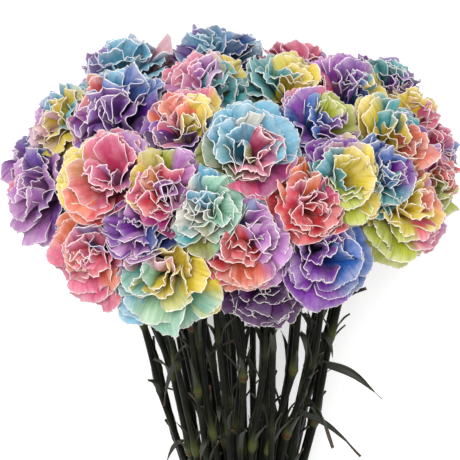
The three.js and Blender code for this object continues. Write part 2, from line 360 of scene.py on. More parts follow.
def thick_piece(mesh, thickness):
    """A smooth piece of thin sheets, with half the thickness on each side of them."""
    piece = bpy.data.objects.new(mesh.name, mesh)
    bpy.context.scene.collection.objects.link(piece)
    wall = piece.modifiers.new("Thickness", "SOLIDIFY")
    wall.thickness = thickness
    wall.offset = 0
    finish_modifiers(piece)
    only(piece)
    bpy.ops.object.shade_smooth()
    return piece


# ---------------------------------------------------------------- petals

COLUMNS = 32  # across a petal
ROWS = np.array([0, 0.2, 0.37, 0.51, 0.63, 0.73, 0.815, 0.885, 0.94, 0.975, 1.0])
FULLNESS = 1.07  # how much a bloom's petals fill out past its plain solid

# A petal of a bloom of size 1, in millimetres out from the bloom's axis and up from its seat.
ROOT = np.array([1.5, -5.0])  # inside the calyx
THROAT = np.array([2.2, 14.0])  # towards which it first rises
HEART = np.array([0.0, 20.0])  # round which the petals' ends lie
OUT_REACH, UP_REACH, DOWN_REACH = 37, 26, 24  # from the heart to the ends
BLADE = 17  # how far before its end a petal takes the direction of its blade
MOST_BENT = math.radians(118)  # from the axis, for a blade
CLAW = 1.6  # half the width of a petal's foot
WRAPPED, WRAP_RADIUS = 55, 12  # end angle below which petals wrap round the heart, and how tightly

# Each whorl of petals, for a bloom of size 1: how many, the angle from the bloom's axis at which
# they end, how far their blades lean out past it, their width, their folds and how far they cup.
WHORLS = [
    (6, 104, 6, 44, 2.0, -0.02),
    (6, 87, 14, 42, 2.9, 0.0),
    (6, 70, 22, 40, 3.7, 0.03),
    (5, 53, 28, 36, 4.3, 0.06),
    (5, 36, 28, 32, 4.6, 0.1),
    (3, 20, 20, 28, 4.6, 0.16),
    (2, 8, 8, 24, 4.2, 0.2),
]


def petal_blank():
    """The faces of a flat grid, and the column and row of each of its corners."""
    bpy.ops.object.select_all(action="DESELECT")
    steps = {"x_subdivisions": COLUMNS, "y_subdivisions": len(ROWS) - 1}
    operator(bpy.ops.mesh.primitive_grid_add, size=1, **steps)
    blank = bpy.context.object
    places = read_points(blank.data)
    faces = np.array([face.vertices[:] for face in blank.data.polygons])
    bpy.data.objects.remove(blank)
    column = np.rint((places[:, 0] + 0.5) * COLUMNS).astype(int)
    row = np.rint((places[:, 1] + 0.5) * (len(ROWS) - 1)).astype(int)
    return faces, column, row


def petal_path(rng, along, end_angle, lean):
    """A petal's middle line from inside the calyx to the outline of the bloom, and its slope."""
    polar = math.radians(end_angle)
    blade = min(polar + math.radians(lean + rng.normal(0, 9)), MOST_BENT)
    up_reach = UP_REACH if end_angle < 90 else DOWN_REACH
    swing = np.array([OUT_REACH * math.sin(polar), up_reach * math.cos(polar)])
    end = HEART + swing * rng.uniform(0.86, 1.15 if end_angle > 75 else 1.02)
    bend = end - BLADE * np.array([math.sin(blade), math.cos(blade)])
    t = np.clip(along, 0, 1)[:, None]
    u = 1 - t
    path = u**3 * ROOT + 3 * u**2 * t * THROAT + 3 * u * t**2 * bend + t**3 * end
    slope = 3 * (u**2 * (THROAT - ROOT) + 2 * u * t * (bend - THROAT) + t**2 * (end - bend))
    return path, units(slope)


def set_round(flat, side, end_angle, turn):
    """Turns a petal to its place round the bloom, and wraps one near the heart round it."""
    wrap = np.clip((WRAPPED - end_angle) / WRAPPED, 0, 1) * 0.45
    bow = flat[:, 0] + WRAP_RADIUS
    arc = side / np.maximum(bow, 8)
    radial = flat[:, 0] * (1 - wrap) + (np.cos(arc) * bow - WRAP_RADIUS) * wrap
    sway = side * (1 - wrap) + np.sin(arc) * bow * wrap
    c, s = math.cos(turn), math.sin(turn)
    return np.stack([radial * c - sway * s, radial * s + sway * c, flat[:, 1]], axis=1)


def petal(rng, column, row, end_angle, lean, turn, width, fold_height, cup, set_):
    """One petal's points in millimetres in its bloom's own frame, whose z is the way that it faces."""
    across = 2 * column / COLUMNS - 1
    along = ROWS[row] * (1 - 0.2 * np.abs(across) ** 2.4)
    path, slope = petal_path(rng, along, end_angle, lean)
    rise = np.stack([-slope[:, 1], slope[:, 0]], axis=1)
    half = CLAW + (width / 2 - CLAW) * smooth(along, 0.1, 0.9) ** 0.8
    side = across * half
    # Broad folds, then frills and a fine crimp that grow towards the edge.
    grow = smooth(along, 0.3, 1.0)
    waves = rng.uniform(0.8, 1.7)
    phase = rng.uniform(0, 2 * math.pi, 5)
    fold = np.sin(waves * math.pi * across + phase[0])
    frill = np.sin(rng.uniform(2.6, 3.8) * math.pi * across + phase[1] + 1.2 * along)
    crimp = np.sin(rng.uniform(7.0, 9.5) * math.pi * across + phase[2])
    strength = set_.ruffle * fold_height
    lift = strength * (grow * fold + 0.5 * grow**2.5 * frill)
    lift += 0.95 * set_.ruffle * smooth(along, 0.76, 1.0) * crimp
    lift += cup * side**2 / 11 + 1.5 * across * grow
    lift -= rng.normal(0.6, 1.6) * smooth(along, 0.72, 1.0) ** 2
    side = side + 0.5 * strength * grow**2 * np.cos(2 * waves * math.pi * across + phase[3])
    twist = rng.normal(0, 0.2 + 0.2 * (end_angle < 60)) * grow
    c, s = np.cos(twist), np.sin(twist)
    side, lift = side * c - lift * s, side * s + lift * c
    # The edge: shallow lobes and uneven teeth.
    teeth = rng.uniform(0.3, 1.0, COLUMNS + 1) * np.where(np.arange(COLUMNS + 1) % 2, 0.5, -0.5)
    lobes = 0.9 * np.sin(rng.uniform(1.5, 3.0) * math.pi * across + phase[4])
    uneven = 0.18 * set_.tooth * rng.normal(0, 1, COLUMNS + 1)[column]
    reach = (lobes + uneven) * smooth(along, 0.6, 1.0)
    reach += set_.tooth * teeth[column] * (row == len(ROWS) - 1)
    points = set_round(path + rise * lift[:, None] + slope * reach[:, None], side, end_angle, turn)
    # How far in each point is from the edge, where the foot counts as far from it.
    to_side = (1 - np.abs(across)) * half + 60 * smooth(0.62 - along, 0, 0.25)
    edge = np.minimum((1 - ROWS[row]) * 42.0, to_side)
    return points, across, along, edge


def wheel(letters, at, table, sharp=0.34):
    """The dye at each turn (0 to 1) round a bloom, whose sectors meet in narrow blends."""
    colours = np.array([table[letter] for letter in letters])
    x = (at % 1.0) * len(letters)
    low = np.floor(x).astype(int)
    mix = smooth((x - low - 0.5) / sharp + 0.5)[:, None]
    return colours[low % len(letters)] * (1 - mix) + colours[(low + 1) % len(letters)] * mix


UNDYED = np.array([0.9, 0.88, 0.86])


def petal_dye_and_shade(rng, points, along, turn, whorl, letters, table):
    """The dye at each point of a petal: its bloom's sectors, a little mixed from petal to petal, deepened
    towards the throat partly as painted shade.
    """
    own = np.arctan2(points[:, 0], points[:, 1]) / (2 * math.pi)
    petal_turn = math.atan2(math.cos(turn), math.sin(turn)) / (2 * math.pi)
    spread = (own - petal_turn + 0.5) % 1.0 - 0.5
    at = petal_turn + 0.55 * spread + rng.normal(0, 0.02)
    outer_dye = wheel(letters[0], at, table)
    heart_dye = wheel(letters[1], at + rng.normal(0, 0.06), table)
    share = min(max((whorl - 2.8) / 1.5 + rng.normal(0, 0.18), 0), 1)
    colour = outer_dye * (1 - share) + heart_dye * share
    # It is deeper and more saturated towards the throat, partly the dye's own depth and partly painted
    # shade of the folds, and paler towards the edge, less so where the dye is dark.
    colour = colour ** (1.2 + 0.6 * (1 - smooth(along, 0.35, 0.85)[:, None]))
    grey = colour.mean(axis=1)[:, None]
    colour = np.maximum(grey + 1.14 * (colour - grey), 0)
    pale = rng.uniform(0.0, 0.06) + 0.1 * smooth(along, 0.7, 1.0)[:, None]
    pale = pale * (0.25 + 0.75 * smooth(colour.mean(axis=1), 0.02, 0.3)[:, None])
    colour = (colour * (1 - pale) + pale * UNDYED) * rng.uniform(0.52, 0.7)
    return np.clip(colour, 0, 1)


PRESS_SLACK = 4 * MM  # how far petals reach past the wall between two blooms
PRESS_DEPTH = 6 * MM  # over which they flatten against it


def press(points, middle, wall_normal, wall, soft):
    """Flattens what would reach past a wall, as petals do against a neighbour."""
    depth = (points - middle) @ wall_normal - wall
    over = np.maximum(depth + soft, 0)
    points -= np.outer(over - soft * (1 - np.exp(-over / soft)), wall_normal)


def bloom_frame(bloom):
    """Matrix columns: to the right, down to up as the bunch is looked at, and out of the bloom."""
    facing = bloom["facing"]
    up = unit(IMAGE_UP - facing * (IMAGE_UP @ facing))
    return np.stack([np.cross(up, facing), up, facing], axis=1)


def fullness_of(bloom):
    """How far a bloom's petals fill out: more on the far side, and where its neighbours leave room."""
    gaps = [
        np.linalg.norm(other["middle"] - bloom["middle"]) - BLOOM_RADIUS * (other["scale"] + bloom["scale"])
        for other in BLOOMS
        if other is not bloom
    ]
    room = np.mean(sorted(gaps)[:4]) / MM
    toward = bloom["facing"] @ TO_CAMERA
    return FULLNESS + max(0.09 * (toward < -0.1), min(0.011 * (room + 14), 0.12) * (toward < 0.3))


BAKE_CELLS = np.array([9, 8])  # across and up the bake's map, enough for each petal's front and back
RIM_WIDTH = 0.025  # of a petal's rims on that map, as a share of a cell


def lay_bake_map(mesh, places, outward, petals):
    """Lays thickened petals out: fronts and backs in cells of their own, rims just outside the fronts."""
    cell = np.repeat(np.arange(petals), len(places) // petals)

    def laid(cells, inside):
        return (np.stack([cells % BAKE_CELLS[0], cells // BAKE_CELLS[0]], axis=1) + inside) / BAKE_CELLS

    front, back, rim = laid(cell, places), laid(cell + petals, places), laid(cell, places + outward)
    corner = corner_points(mesh)
    own = corner % len(places)
    in_front = (corner < len(places))[:, None]
    walls = 8 * petals * COLUMNS * (len(ROWS) - 1)  # corners of the fronts and backs, which come first
    on_rim = (np.arange(len(corner)) >= walls)[:, None]
    uv = np.where(in_front, front[own], np.where(on_rim, rim[own], back[own]))
    mesh.uv_layers.new(name="OFBake").data.foreach_set("uv", uv.ravel())


def model_bloom(bloom, index, blank, table, set_):
    faces, column, row = blank
    rng = np.random.default_rng(set_.seed * 1000 + index)
    letters = BLOOM_DYES[index].split("-")
    axes = bloom_frame(bloom)
    parts = []
    start = rng.uniform(0, 2 * math.pi)
    fullness = fullness_of(bloom)
    open_ = index + 1 in OPEN_BLOOMS
    frilled = 0.75 if open_ else 1.0 if index % 3 else 1.4
    for whorl, (count, end_angle, lean, width, folds, cup) in enumerate(WHORLS):
        if open_:
            count -= 1 < whorl < 5
            end_angle += 7 * (whorl > 1)
            width *= 1.12
        for k in range(count):
            turn = start + 2 * math.pi * (k + 0.5 * (whorl % 2)) / count + rng.normal(0, 0.13)
            angle = max(end_angle + rng.normal(0, 5), 3)
            width_now = width * rng.uniform(0.85, 1.1)
            folds_now = folds * frilled * rng.uniform(0.6, 1.25)
            points, across, along, edge = petal(
                rng, column, row, angle, lean, turn, width_now, folds_now, cup, set_
            )
            if whorl > 2:
                points[:, :2] += np.outer(smooth(along, 0.1, 0.6), rng.normal(0, 2.6, 2))
            world = bloom["seat"] + (points * MM * bloom["scale"] * fullness) @ axes.T
            dye_and_shade_now = petal_dye_and_shade(rng, points, along, turn, whorl, letters, table)
            fan = 0.5 + 0.46 * across * (0.08 + 0.92 * smooth(along, 0.12, 0.95) ** 0.85)
            place = np.stack([fan, 0.04 + 0.92 * along], axis=1)
            vein = np.stack([0.5 + 0.5 * across + 1.7 * len(parts), along], axis=1)
            parts.append((world, dye_and_shade_now, edge, along, place, vein))
    points, dyes, edges, lengths, places, veins = (np.concatenate(part) for part in zip(*parts))
    for other in BLOOMS:
        gap = other["middle"] - bloom["middle"]
        distance = np.linalg.norm(gap)
        if other is bloom or distance > 1.25 * BLOOM_RADIUS * (bloom["scale"] + other["scale"]):
            continue
        share = bloom["scale"] / (bloom["scale"] + other["scale"])
        press(points, bloom["middle"], gap / distance, distance * share + PRESS_SLACK, PRESS_DEPTH)
    press(points, bloom["middle"], np.array([0, 0, -1.0]), bloom["middle"][2] - 0.4 * MM, 5 * MM)
    mesh = bpy.data.meshes.new(bloom["name"] + "_petals")
    mesh.from_pydata(points, [], np.concatenate([faces + len(column) * k for k in range(len(parts))]))
    # The stored dye also carries the painted shade towards the throat.
    store(mesh, "dye", dyes)
    store(mesh, "edge", edges)
    store(mesh, "reach", lengths)
    lay_uv(mesh, "Petal", veins)
    piece = thick_piece(mesh, set_.petal_thickness)
    sides = 1.0 * (column == COLUMNS) - (column == 0)
    ends = 1.0 * (row == len(ROWS) - 1) - (row == 0)
    outward = np.tile(RIM_WIDTH * np.stack([sides, ends], axis=1), (len(parts), 1))
    lay_bake_map(piece.data, places, outward, len(parts))
    return piece


# ---------------------------------------------------------------- materials


def new_material(name):
    material = bpy.data.materials.new(name)
    material.use_nodes = True
    tree = material.node_tree
    tree.nodes.clear()
    output = tree.nodes.new("ShaderNodeOutputMaterial")
    shader = tree.nodes.new("ShaderNodeBsdfPrincipled")
    tree.links.new(shader.outputs["BSDF"], output.inputs["Surface"])
    return material, tree, shader


def add(tree, kind, **values):
    node = tree.nodes.new("ShaderNode" + kind)
    for key, value in values.items():
        if key in node.inputs:
            node.inputs[key].default_value = value
        else:
            setattr(node, key, value)
    return node


def set_inputs(node, values):
    for name, value in values.items():
        node.inputs[name].default_value = value


def painted(tree, name, output="Fac"):
    """What is stored on the mesh under a name."""
    return add(tree, "Attribute", attribute_name=name).outputs[output]


def maths(tree, operation, *inputs):
    node = add(tree, "Math", operation=operation)
    for socket, value in zip(node.inputs, inputs):
        if isinstance(value, (int, float)):
            socket.default_value = value
        else:
            tree.links.new(value, socket)
    return node.outputs[0]


def ranged(tree, value, low, high, to_low=0.0, to_high=1.0, kind="SMOOTHSTEP"):
    node = add(tree, "MapRange", interpolation_type=kind)
    tree.links.new(value, node.inputs["Value"])
    set_inputs(node, {"From Min": low, "From Max": high, "To Min": to_low, "To Max": to_high})
    return node.outputs["Result"]


def mixed(tree, factor, first, second, blend="MIX"):
    node = tree.nodes.new("ShaderNodeMix")
    node.data_type = "RGBA"
    node.blend_type = blend
    for socket, value in ((node.inputs[0], factor), (node.inputs[6], first), (node.inputs[7], second)):
        if isinstance(value, (int, float)):
            socket.default_value = value
        elif isinstance(value, tuple):
            socket.default_value = (*value, 1.0)
        else:
            tree.links.new(value, socket)
    return node.outputs[2]


def stretched(tree, places, scale):
    node = add(tree, "Mapping", Scale=scale)
    tree.links.new(places, node.inputs["Vector"])
    return node.outputs[0]


def noise(tree, places, scale, detail, roughness):
    node = add(tree, "TexNoise", Scale=scale, Detail=detail, Roughness=roughness)
    tree.links.new(places, node.inputs["Vector"])
    return node.outputs["Fac"]


def finish_skin(tree, shader, colour, rough, relief, strength, depth):
    """Joins the colour, the roughness and a relief to the shader."""
    bump = add(tree, "Bump", Strength=strength, Distance=depth)
    tree.links.new(relief, bump.inputs["Height"])
    tree.links.new(colour, shader.inputs["Base Color"])
    tree.links.new(rough, shader.inputs["Roughness"])
    tree.links.new(bump.outputs[0], shader.inputs["Normal"])


def petal_material(set_):
    material, tree, shader = new_material("dyed_petal")
    # The dye as stored, with its painted shade towards the throat.
    dye_and_shade_colour = painted(tree, "dye", "Color")
    edge, reach = painted(tree, "edge"), painted(tree, "reach")
    petal_map = add(tree, "UVMap", uv_map="Petal").outputs["UV"]
    place = add(tree, "TexCoord").outputs["Object"]

    streak = noise(tree, stretched(tree, petal_map, (34, 1.6, 1)), 1.0, 3.0, 0.6)
    veins = noise(tree, stretched(tree, petal_map, (110, 2.2, 1)), 1.0, 2.0, 0.5)
    blotch = noise(tree, place, 95.0, 4.0, 0.6)

    # Dye drawn up in streaks, stronger and weaker along the veins.
    bright = ranged(tree, streak, 0.3, 0.72, 0.8, 1.08, "LINEAR")
    colour = mixed(tree, 1.0, dye_and_shade_colour, bright, "MULTIPLY")
    line = ranged(tree, veins, 0.52, 0.66, 1.0, 0.78)
    colour = mixed(tree, 1.0, colour, line, "MULTIPLY")
    # It is washed out in blotches and thins out towards the edge, less so where it is dark.
    depth = add(tree, "RGBToBW")
    tree.links.new(dye_and_shade_colour, depth.inputs[0])
    light = ranged(tree, depth.outputs[0], 0.01, 0.12, 0.12, 1.0, "LINEAR")
    washed = maths(tree, "MULTIPLY", ranged(tree, blotch, 0.42, 0.7, 0.0, 0.14), light)
    colour = mixed(tree, washed, colour, srgb(246, 236, 230))
    thin = maths(tree, "MULTIPLY", ranged(tree, edge, 0.0, 5.0, 0.26, 0.0), streak)
    thin = maths(tree, "MULTIPLY", thin, light)
    colour = mixed(tree, thin, colour, srgb(250, 244, 240))
    # Painted shade: the throat is darkened towards the calyx, where the petals crowd together.
    throat_shade = ranged(tree, reach, 0.15, 0.6, 0.5, 1.0)
    colour = mixed(tree, 1.0, colour, throat_shade, "MULTIPLY")
    # The undyed margin, with an uneven inner line.
    uneven = maths(tree, "MULTIPLY_ADD", streak, 0.9, -0.45)
    inner = maths(tree, "ADD", edge, uneven)
    margin = ranged(tree, inner, set_.margin_width * 0.3, set_.margin_width * 1.8, 0.7, 0.0)
    colour = mixed(tree, margin, colour, srgb(244, 236, 232))

    rough = ranged(tree, blotch, 0.3, 0.7, 0.5, 0.68, "LINEAR")
    finish_skin(tree, shader, colour, rough, streak, 0.35, 0.4 * MM)
    set_inputs(shader, {"Specular IOR Level": 0.22, "Sheen Weight": 0.06, "Subsurface Weight": 0.2})
    set_inputs(shader, {"Subsurface Radius": (1.0, 0.8, 0.8), "Subsurface Scale": 4 * MM})
    return material


def stem_material():
    material, tree, shader = new_material("stem_skin")
    joint, calyx, cut = (painted(tree, name) for name in ("joint", "calyx", "cut"))
    place = add(tree, "TexCoord").outputs["Object"]
    streak = noise(tree, stretched(tree, place, (1500, 60, 1500)), 1.0, 4.0, 0.6)
    patch = noise(tree, place, 26.0, 3.0, 0.6)
    streaked = ranged(tree, streak, 0.35, 0.7)
    colour = mixed(tree, streaked, srgb(8, 9, 7), srgb(26, 29, 21))
    olive = ranged(tree, patch, 0.5, 0.72, 0.0, 0.5)
    colour = mixed(tree, olive, colour, srgb(40, 42, 24))
    reddened = ranged(tree, joint, 0.8, 0.98)
    ripe = mixed(tree, reddened, srgb(78, 86, 42), srgb(84, 34, 34))
    colour = mixed(tree, maths(tree, "MULTIPLY", joint, 0.8), colour, ripe)
    lit = ranged(tree, streak, 0.3, 0.7)
    green = mixed(tree, lit, srgb(44, 56, 38), srgb(84, 98, 62))
    colour = mixed(tree, calyx, colour, green)
    colour = mixed(tree, cut, colour, srgb(150, 156, 112))
    rough = ranged(tree, streak, 0.3, 0.7, 0.3, 0.5, "LINEAR")
    finish_skin(tree, shader, colour, rough, streak, 0.5, 0.4 * MM)
    set_inputs(shader, {"Specular IOR Level": 0.1})
    return material


def leaf_material():
    material, tree, shader = new_material("leaf_blade")
    tip = painted(tree, "tip")
    leaf_map = add(tree, "UVMap", uv_map="Leaf").outputs["UV"]
    place = add(tree, "TexCoord").outputs["Object"]
    veins = noise(tree, stretched(tree, leaf_map, (14, 1.2, 1)), 1.0, 3.0, 0.55)
    patch = noise(tree, place, 120.0, 3.0, 0.6)
    veined = ranged(tree, veins, 0.35, 0.68)
    colour = mixed(tree, veined, srgb(15, 17, 12), srgb(44, 50, 30))
    dry = ranged(tree, maths(tree, "ADD", tip, patch), 1.1, 1.6, 0.0, 0.8)
    colour = mixed(tree, dry, colour, srgb(72, 50, 34))
    rough = ranged(tree, patch, 0.3, 0.7, 0.45, 0.65, "LINEAR")
    finish_skin(tree, shader, colour, rough, veins, 0.5, 0.3 * MM)
    return material


def rubber_material():
    material, tree, shader = new_material("tan_rubber")
    place = add(tree, "TexCoord").outputs["Object"]
    grain = noise(tree, place, 420.0, 3.0, 0.6)
    colour = mixed(tree, grain, srgb(168, 126, 78), srgb(206, 164, 110))
    rough = ranged(tree, grain, 0.3, 0.7, 0.42, 0.6, "LINEAR")
    finish_skin(tree, shader, colour, rough, grain, 0.3, 0.2 * MM)
    return material


# ---------------------------------------------------------------- stems


def inner_places():
    """Places of the nineteen middle stems, packed at the band and led to their own blooms."""
    pitch = 5.1 * MM
    slots = [(0.0, 0.0)]
    slots += [(pitch, math.radians(-180 + 60 * k)) for k in range(6)]
    slots += [(2 * pitch, math.radians(-150 + 30 * k)) for k in range(12)]
    spread = np.linalg.norm(CUT_MIDDLE - OUTER_STEMS[0][0]) / OUTER_RADIUS
    lines = []
    for (radius, turn), bloom in zip(slots, BLOOMS[18:]):
        slot = radius * aside(turn)
        foot = bloom["seat"] - bloom["facing"] * CALYX_LENGTH
        neck = foot - bloom["facing"] * NECK_LENGTH
        band = BAND_MIDDLE + slot
        above = band + ALONG * 22 * MM
        rise = [above + (neck - above) * share for share in (0.22, 0.43, 0.62, 0.78, 0.9)]
        lines.append(np.array([CUT_MIDDLE + slot * spread, band, above, *rise, neck, foot]))
    return make_room(lines)


def make_room(lines):
    """Moves the middle stems' bends aside where they would run through another stem."""
    fixed = np.concatenate([even_line(places, 8 * MM)[0] for places in OUTER_STEMS])
    room = 6.2 * MM
    for _ in range(40):
        samples = [even_line(places, 8 * MM)[0] for places in lines]
        for i, places in enumerate(lines):
            others = np.concatenate([fixed] + [samples[j] for j in range(len(lines)) if j != i])
            for k in range(3, len(places) - 1):
                near = places[k] - others
                distance = np.linalg.norm(near, axis=1)
                close = distance < room
                if close.any():
                    push = near[close] / distance[close, None] * (room - distance[close, None])
                    places[k] += 0.5 * push.mean(axis=0)
    return lines


def stem_profile(at, length, rng, set_):
    """Radius along a stem whose calyx ends at length, and how near each point is to a joint."""
    radius = set_.stem_radius * (1.06 - 0.16 * at / length)
    joint = np.zeros_like(at)
    place = rng.uniform(18, 60) * MM
    foot = length - CALYX_LENGTH
    joints = []
    while place < foot - 30 * MM:
        joints.append(place)
        sigma = np.where(at < place, 1.8, 11) * MM
        bump = np.exp(-np.abs((at - place) / sigma) ** 1.7)
        ripe = rng.uniform() < 0.45
        radius = radius + set_.joint_swell * bump * (1.6 if ripe else 0.8)
        joint = np.maximum(joint, bump * (1.0 if ripe else 0.25))
        place += rng.uniform(62, 92) * MM
    calyx = smooth(at, foot - 1.0 * MM, foot + 1.5 * MM)
    up = np.clip((at - foot) / CALYX_LENGTH, 0, 1)
    body = (3.4 + 2.9 * smooth(up, 0.0, 0.5) + 0.2 * up) * MM
    radius = radius * (1 - calyx) + body * calyx
    return radius, joint, calyx, joints


BOW = 0.25  # how much farther from the middle the stems stand between the band and the blooms


def model_stem(name, places, bloom, rng, set_):
    """A stem from its cut end to its calyx's mouth, swept as a bevelled curve whose radius changes."""
    line = smooth_line(places, 8)
    line, _ = even_line(np.vstack([line, bloom["seat"] - bloom["facing"] * 0.6 * MM]), 4.2 * MM)
    lengths = run_lengths(line)
    radius, joint, calyx, joints = stem_profile(lengths, lengths[-1], rng, set_)
    # It changes direction a little at each joint.
    free = smooth(lengths, 120 * MM, 190 * MM) * smooth(lengths[-1] - lengths, 50 * MM, 110 * MM)
    line = line + np.outer(BOW * free * (line[:, 0] - BAND_MIDDLE[0]), ACROSS)
    turns = rng.normal(0, 2.2 * MM, (len(joints) + 2, 3))
    kinks = read_off(lengths, np.r_[0, joints, lengths[-1]], turns)
    line = line + free[:, None] * kinks
    bpy.ops.object.select_all(action="DESELECT")
    operator(bpy.ops.curve.primitive_nurbs_path_add)
    curve = bpy.context.object
    curve.name = name
    curve.data.splines.clear()
    spline = curve.data.splines.new("POLY")
    spline.points.add(len(line) - 1)
    spline.points.foreach_set("co", np.c_[line, np.ones(len(line))].ravel())
    spline.points.foreach_set("radius", radius / MM)
    curve.data.bevel_depth = 1.0 * MM
    curve.data.bevel_resolution = 3
    curve.data.use_fill_caps = True
    curve.data.dimensions = "3D"
    only(curve)
    operator(bpy.ops.object.convert, target="MESH")
    piece = bpy.context.object
    operator(bpy.ops.object.mode_set, mode="EDIT")
    operator(bpy.ops.mesh.select_all, action="SELECT")
    operator(bpy.ops.mesh.remove_doubles, threshold=0.001 * MM)
    operator(bpy.ops.object.mode_set, mode="OBJECT")
    points = read_points(piece.data)
    ring = np.array([np.argmin(np.sum((line - point) ** 2, axis=1)) for point in points])
    points[:, 2] = np.maximum(points[:, 2], 0.05 * MM)
    piece.data.vertices.foreach_set("co", points.ravel())
    for marked, values in (("joint", joint), ("calyx", calyx), ("cut", lengths == 0)):
        store(piece.data, marked, values[ring].astype(float))
    while piece.data.uv_layers:
        piece.data.uv_layers.remove(piece.data.uv_layers[0])
    only(piece)
    bpy.ops.object.shade_smooth()
    return piece, line, lengths, joints


# ---------------------------------------------------------------- leaves


def blade(path, broad, width, rng, fold=0.25, torn=0.0, columns=6, rows=22):
    """A narrow leaf along a path, folded along its midrib: its corners, faces and places on it."""
    across, along = np.meshgrid(np.linspace(-1, 1, columns + 1), np.linspace(0, 1, rows + 1))
    across, along = across.ravel(), along.ravel()
    line, at = even_line(path, np.linalg.norm(path[-1] - path[0]) / 60)
    share = at / at[-1]
    middle = read_off(along, share, line)
    tangent = read_off(along, share, units(np.gradient(line, axis=0)))
    twist = rng.uniform(-0.7, 0.7) * along
    flat = units(broad - (tangent @ broad)[:, None] * tangent)
    face = np.cross(tangent, flat)
    flat, face = (
        flat * np.cos(twist)[:, None] + face * np.sin(twist)[:, None],
        face * np.cos(twist)[:, None] - flat * np.sin(twist)[:, None],
    )
    half = 0.5 * width * (0.5 + 0.5 * np.sin(np.pi * along**0.7)) * (1 - along**2.4) + 0.06 * MM
    half *= 1 - torn * smooth(along, 0.7, 1.0) * (0.5 + 0.5 * np.sin(40 * along + 9 * across))
    curl = 0.15 * width * rng.uniform(0.6, 1.6) * np.sin(across * 2.0 + 7 * along)
    points = middle + flat * (across * half)[:, None]
    points += face * (np.abs(across) * half * fold + curl * along)[:, None]
    corner = np.arange(rows * (columns + 1)).reshape(rows, columns + 1)[:, :-1].ravel()
    faces = np.stack([corner, corner + 1, corner + columns + 2, corner + columns + 1], axis=1)
    return points, faces, across, along


def model_blades(name, blades, thickness):
    """One piece of the given blades, each with its faces on both sides."""
    points, faces, across, along = zip(*blades)
    starts = np.cumsum([0] + [len(own) for own in points])
    faces = np.concatenate([own + start for own, start in zip(faces, starts)])
    mesh = bpy.data.meshes.new(name)
    mesh.from_pydata(np.concatenate(points), [], faces)
    across, along = np.concatenate(across), np.concatenate(along)
    store(mesh, "tip", along)
    lay_uv(mesh, "Leaf", np.stack([0.5 + 0.5 * across, along], axis=1))
    return thick_piece(mesh, thickness)


def leaf_stubs(line, lengths, joints, rng):
    """The withered pair of narrow leaves left above each joint, close along the stem."""
    blades = []
    for place in joints:
        if place < 20 * MM:
            continue
        here = np.searchsorted(lengths, place)
        tangent = unit(line[here + 1] - line[here - 1])
        turn = rng.uniform(0, math.pi)
        for half_turn in (0, math.pi):
            length = rng.uniform(14, 46) * MM
            open_ = rng.uniform(0.08, 0.55)
            side = aside(turn + half_turn)
            side = unit(side - tangent * (side @ tangent))
            t = np.linspace(0, 1, 9)[:, None]
            path = line[here] + 3.3 * MM * side
            path = path + length * (tangent * (t - 0.25 * open_ * t**2) + side * open_ * t**2)
            path += length * rng.normal(0, 0.12, 3) * t**2
            path[:, 2] = np.maximum(path[:, 2], 1.5 * MM)
            width = rng.uniform(4, 6.5) * MM
            blades.append(blade(path, np.cross(tangent, side), width, rng, 0.5, 0.4, 4, 12))
    return blades


def cad_leaf_path(name):
    """The way the plain leaf of the frame runs, from its root to its tip."""
    points = node_points(name)
    gaps = np.linalg.norm(points[:, None] - points[None], axis=2)
    i, j = np.unravel_index(np.argmax(gaps), gaps.shape)
    stems = np.concatenate([even_line(places, 5 * MM)[0] for places in OUTER_STEMS])
    if min(np.linalg.norm(stems - points[i], axis=1)) > min(np.linalg.norm(stems - points[j], axis=1)):
        i, j = j, i
    root, tip = points[i], points[j]
    share = (points - root) @ (tip - root) / np.sum((tip - root) ** 2)
    middle = points[(share > 0.4) & (share < 0.6)].mean(axis=0)
    return smooth_line(np.array([root, middle, tip]), 8)


# ---------------------------------------------------------------- operators


class CARNATIONS_OT_blooms(bpy.types.Operator):
    """Model each bloom's ruffled petals where its solid stands"""

    bl_idname = "carnations.blooms"
    bl_label = "Blooms"

    def execute(self, context):
        blank, table, set_ = petal_blank(), dye_table(), sizes()
        material = petal_material(set_)
        for index, bloom in enumerate(BLOOMS):
            piece = model_bloom(bloom, index, blank, table, set_)
            piece.data.materials.append(material)
            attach(piece, "root")
            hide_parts(bloom["name"])
        return {"FINISHED"}


class CARNATIONS_OT_stems(bpy.types.Operator):
    """Sweep each stem with its joints and calyx"""

    bl_idname = "carnations.stems"
    bl_label = "Stems"

    def execute(self, context):
        set_ = sizes()
        material = stem_material()
        stub_material = leaf_material()
        for index, (places, bloom) in enumerate(zip(OUTER_STEMS + inner_places(), BLOOMS)):
            rng = np.random.default_rng(set_.seed * 500 + index)
            outer = index < len(OUTER_STEMS)
            name = f"carnation_stem_{index + 1:02d}"
            piece, line, lengths, joints = model_stem(name, places, bloom, rng, set_)
            piece.data.materials.append(material)
            stubs = leaf_stubs(line, lengths, joints, rng)
            if stubs:
                leaves = model_blades(name + "_stubs", stubs, 0.4 * MM)
                leaves.data.materials.append(stub_material)
                only(piece)
                leaves.select_set(True)
                operator(bpy.ops.object.join)
            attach(piece, "root")
            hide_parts(f"stem_{index + 1:02d}" if outer else "inner_stems")
        return {"FINISHED"}


# Each is stem, distance below its calyx along the stem, turn from the upper side, length and droop.
SMALL_LEAVES = [
    (13, 150, 40, 34, 0.9),
    (14, 215, 60, 30, 0.7),
    (12, 120, 20, 26, 1.0),
    (10, 110, -20, 24, 0.9),
    (5, 130, -50, 42, 1.3),
    (7, 160, 0, 22, 0.8),
    (6, 210, -30, 28, 1.0),
    (4, 240, -70, 36, 1.0),
    (9, 250, 30, 30, 0.9),
    (11, 300, 50, 30, 0.8),
]


